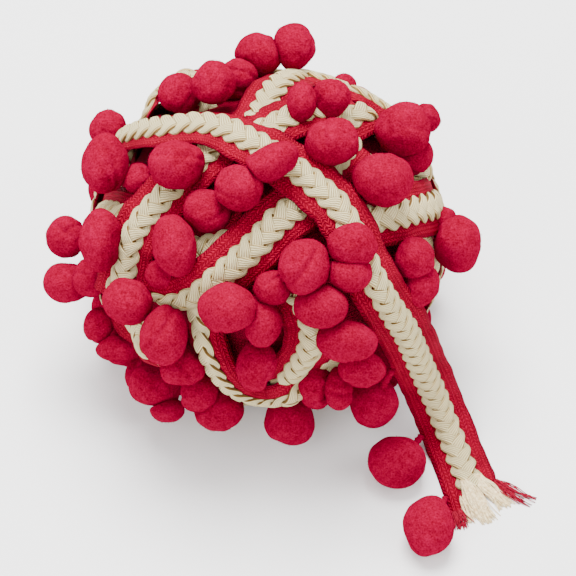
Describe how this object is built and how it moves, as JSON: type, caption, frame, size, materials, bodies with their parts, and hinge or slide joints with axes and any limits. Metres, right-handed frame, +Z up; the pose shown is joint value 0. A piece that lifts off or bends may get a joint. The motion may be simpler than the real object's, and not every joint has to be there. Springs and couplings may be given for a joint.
{
  "type": "pompom fringe trim",
  "caption": "Crimson tape with a cream three-strand plait along its middle and pink pompoms on stems along one edge, wound into a loose ball with a frayed free end.",
  "frame": {"origin": "middle of the ball's flat spot, on the surface it rests on", "axes": "+Z up; -Y towards the side from which the free end is seen; +Y is the longest side of the whole and +Z the shortest"},
  "size_m": [0.1921, 0.1974, 0.135],
  "materials": {
    "tape": "matt braided crimson cotton",
    "plait": "soft cream cotton threads",
    "pompom": "dense fuzzy pink fibre"
  },
  "bodies": {
    "root": {"wound_ball": "tape", "tail_tape": "tape", "tail_plait": "plait", "pompoms_top_left": "pompom", "pompoms_left_shoulder": "pompom", "pompoms_top_edge": "pompom", "pompoms_top_pair": "pompom", "pompoms_right_shoulder": "pompom", "pompoms_left_middle": "pompom", "pompoms_left_side": "pompom", "pompoms_low_left_side": "pompom", "pompoms_low_front": "pompom", "pompoms_front_left": "pompom", "pompoms_front_right": "pompom", "pompoms_low_right": "pompom", "pompoms_right_side": "pompom", "pompoms_right_low": "pompom", "pompoms_back_low": "pompom", "pompoms_back_middle": "pompom", "pompoms_back_high": "pompom", "pompoms_low_left_corner": "pompom", "pompoms_low_right_corner": "pompom", "pompoms_tail": "pompom"}
  },
  "joints": []
}
